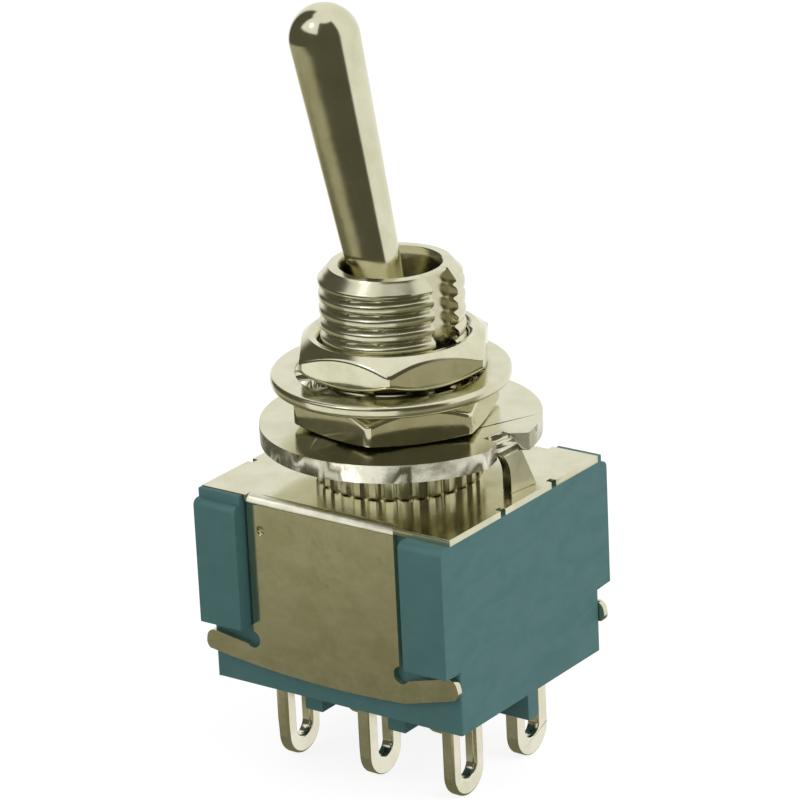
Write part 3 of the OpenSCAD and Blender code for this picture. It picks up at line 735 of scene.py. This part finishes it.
def studio_world():
    """White to the camera, even grey to matt surfaces, and a studio to shiny ones.

    The studio, by height of the direction: dark, a band of middle tone just under the
    horizon, dim below it, a softbox high in front, and bright behind and overhead.
    """
    world = bpy.data.worlds.new("studio")
    scene.world = world
    nodes = Nodes(world)
    coord = nodes.node("ShaderNodeTexCoord")
    parts = nodes.node("ShaderNodeSeparateXYZ")
    nodes.link(coord.outputs["Generated"], parts.inputs[0])
    x, y, z = parts.outputs
    azimuth = nodes.math("ARCTAN2", y, x)

    def edge(value, low, high):
        """0 at low and 1 at high, whichever of them is greater."""
        if low < high:
            return nodes.ramp(value, low, high)
        return nodes.ramp(value, high, low, 1.0, 0.0)

    def sector(low, high, soft):
        """1 between two azimuths in degrees, with soft sides."""
        lo, hi, s = (math.radians(v) for v in (low, high, soft))
        return nodes.math("MULTIPLY", edge(azimuth, lo - s, lo + s),
                          edge(azimuth, hi + s, hi - s))

    bright = (1.0, 1.0, 0.97)
    middle = (0.44, 0.42, 0.29)
    dim = (0.17, 0.165, 0.105)
    dark = (0.10, 0.095, 0.066)
    sky = nodes.mix(edge(z, -0.24, -0.31), dark, middle)
    sky = nodes.mix(edge(z, -0.375, -0.40), sky, dim)
    softbox = nodes.math("MULTIPLY", sector(-150, -78, 4), edge(z, 0.40, 0.50))
    sky = nodes.mix(softbox, sky, bright)
    behind = nodes.math("MAXIMUM",
                        nodes.math("MULTIPLY", sector(38, 156, 6), edge(z, -0.62, -0.40)),
                        nodes.math("MULTIPLY", sector(0, 80, 4), edge(z, -0.25, -0.18)))
    sky = nodes.mix(behind, sky, bright)
    sky = nodes.mix(edge(z, 0.86, 0.93), sky, bright)

    path = nodes.node("ShaderNodeLightPath")
    mirror = nodes.math("MAXIMUM", path.outputs["Is Glossy Ray"],
                        path.outputs["Is Transmission Ray"])
    colour = nodes.mix(mirror, (0.62, 0.62, 0.62), sky)
    colour = nodes.mix(path.outputs["Is Camera Ray"], colour, (1, 1, 1))
    back = nodes.node("ShaderNodeBackground")
    nodes.link(colour, back.inputs["Color"])
    back.inputs["Strength"].default_value = 1.0
    nodes.surface(back, "ShaderNodeOutputWorld")


def lamp(name, place, size, power, glossy=True):
    """A square lamp, in metres and watts, aimed at the origin."""
    data = bpy.data.lights.new(name, "AREA")
    data.shape = "SQUARE"
    data.size = size
    data.energy = power
    obj = bpy.data.objects.new(name, data)
    scene.collection.objects.link(obj)
    obj.location = place
    obj.rotation_euler = (-Vector(place)).to_track_quat("-Z", "Y").to_euler()
    obj.visible_glossy = glossy
    obj.visible_camera = False


def reflector_card(radius=15, low=-1.6, high=4.6, steps=40):
    """A low white card that bends round the front, seen only by shiny surfaces."""
    first, last = math.radians(-128), math.radians(-50)
    verts = []
    for k in range(steps + 1):
        a = first + (last - first) * k / steps
        verts += [(radius * math.cos(a), radius * math.sin(a), z) for z in (low, high)]
    faces = [(2 * k, 2 * k + 2, 2 * k + 3, 2 * k + 1) for k in range(steps)]
    card = add_object("reflector_card", verts, faces)
    mat = bpy.data.materials.new("card_white")
    nodes = Nodes(mat)
    glow = nodes.node("ShaderNodeEmission")
    glow.inputs["Color"].default_value = (1, 1, 0.95, 1)
    glow.inputs["Strength"].default_value = 1.0
    nodes.surface(glow)
    card.data.materials.append(mat)
    card.visible_camera = False
    card.visible_diffuse = False
    card.visible_transmission = False
    card.visible_shadow = False


floor_plane()
studio_world()
reflector_card()
lamp("key", (0.30, 0.02, 0.22), 0.22, 0.55, glossy=False)
lamp("fill", (-0.20, -0.28, 0.16), 0.25, 0.16, glossy=False)
lamp("spark", (-0.10, -0.22, 0.30), 0.05, 0.06)


# ---------------------------------------------------------------- camera

# The camera, fitted to the photograph's outlines: degrees, then metres, then lens values.
AZIMUTH, ELEVATION, ROLL = 36.681, 20.207, -2.789
AIM_Z, DISTANCE = 0.003023, 0.192394
LENS_MM, SENSOR_MM = 199.219, 36
SHIFT_X, SHIFT_Y = 0.00353, 0.00677


def photo_camera():
    az, el, roll = (math.radians(v) for v in (AZIMUTH, ELEVATION, ROLL))
    back = Vector((math.sin(az) * math.cos(el), -math.cos(az) * math.cos(el), math.sin(el)))
    right = Vector((math.cos(az), math.sin(az), 0))
    up = back.cross(right)
    side = right * math.cos(roll) + up * math.sin(roll)
    head = up * math.cos(roll) - right * math.sin(roll)
    data = bpy.data.cameras.new("camera")
    data.lens = LENS_MM
    data.sensor_width = SENSOR_MM
    data.shift_x = SHIFT_X
    data.shift_y = SHIFT_Y
    data.clip_start = 0.005
    data.clip_end = 20
    camera = bpy.data.objects.new("camera", data)
    scene.collection.objects.link(camera)
    m = Matrix((side, head, back)).transposed().to_4x4()
    m.translation = Vector((0, 0, AIM_Z)) + back * DISTANCE
    camera.matrix_world = m
    scene.camera = camera


photo_camera()
scene.view_settings.view_transform = "Standard"

bpy.context.view_layer.update()
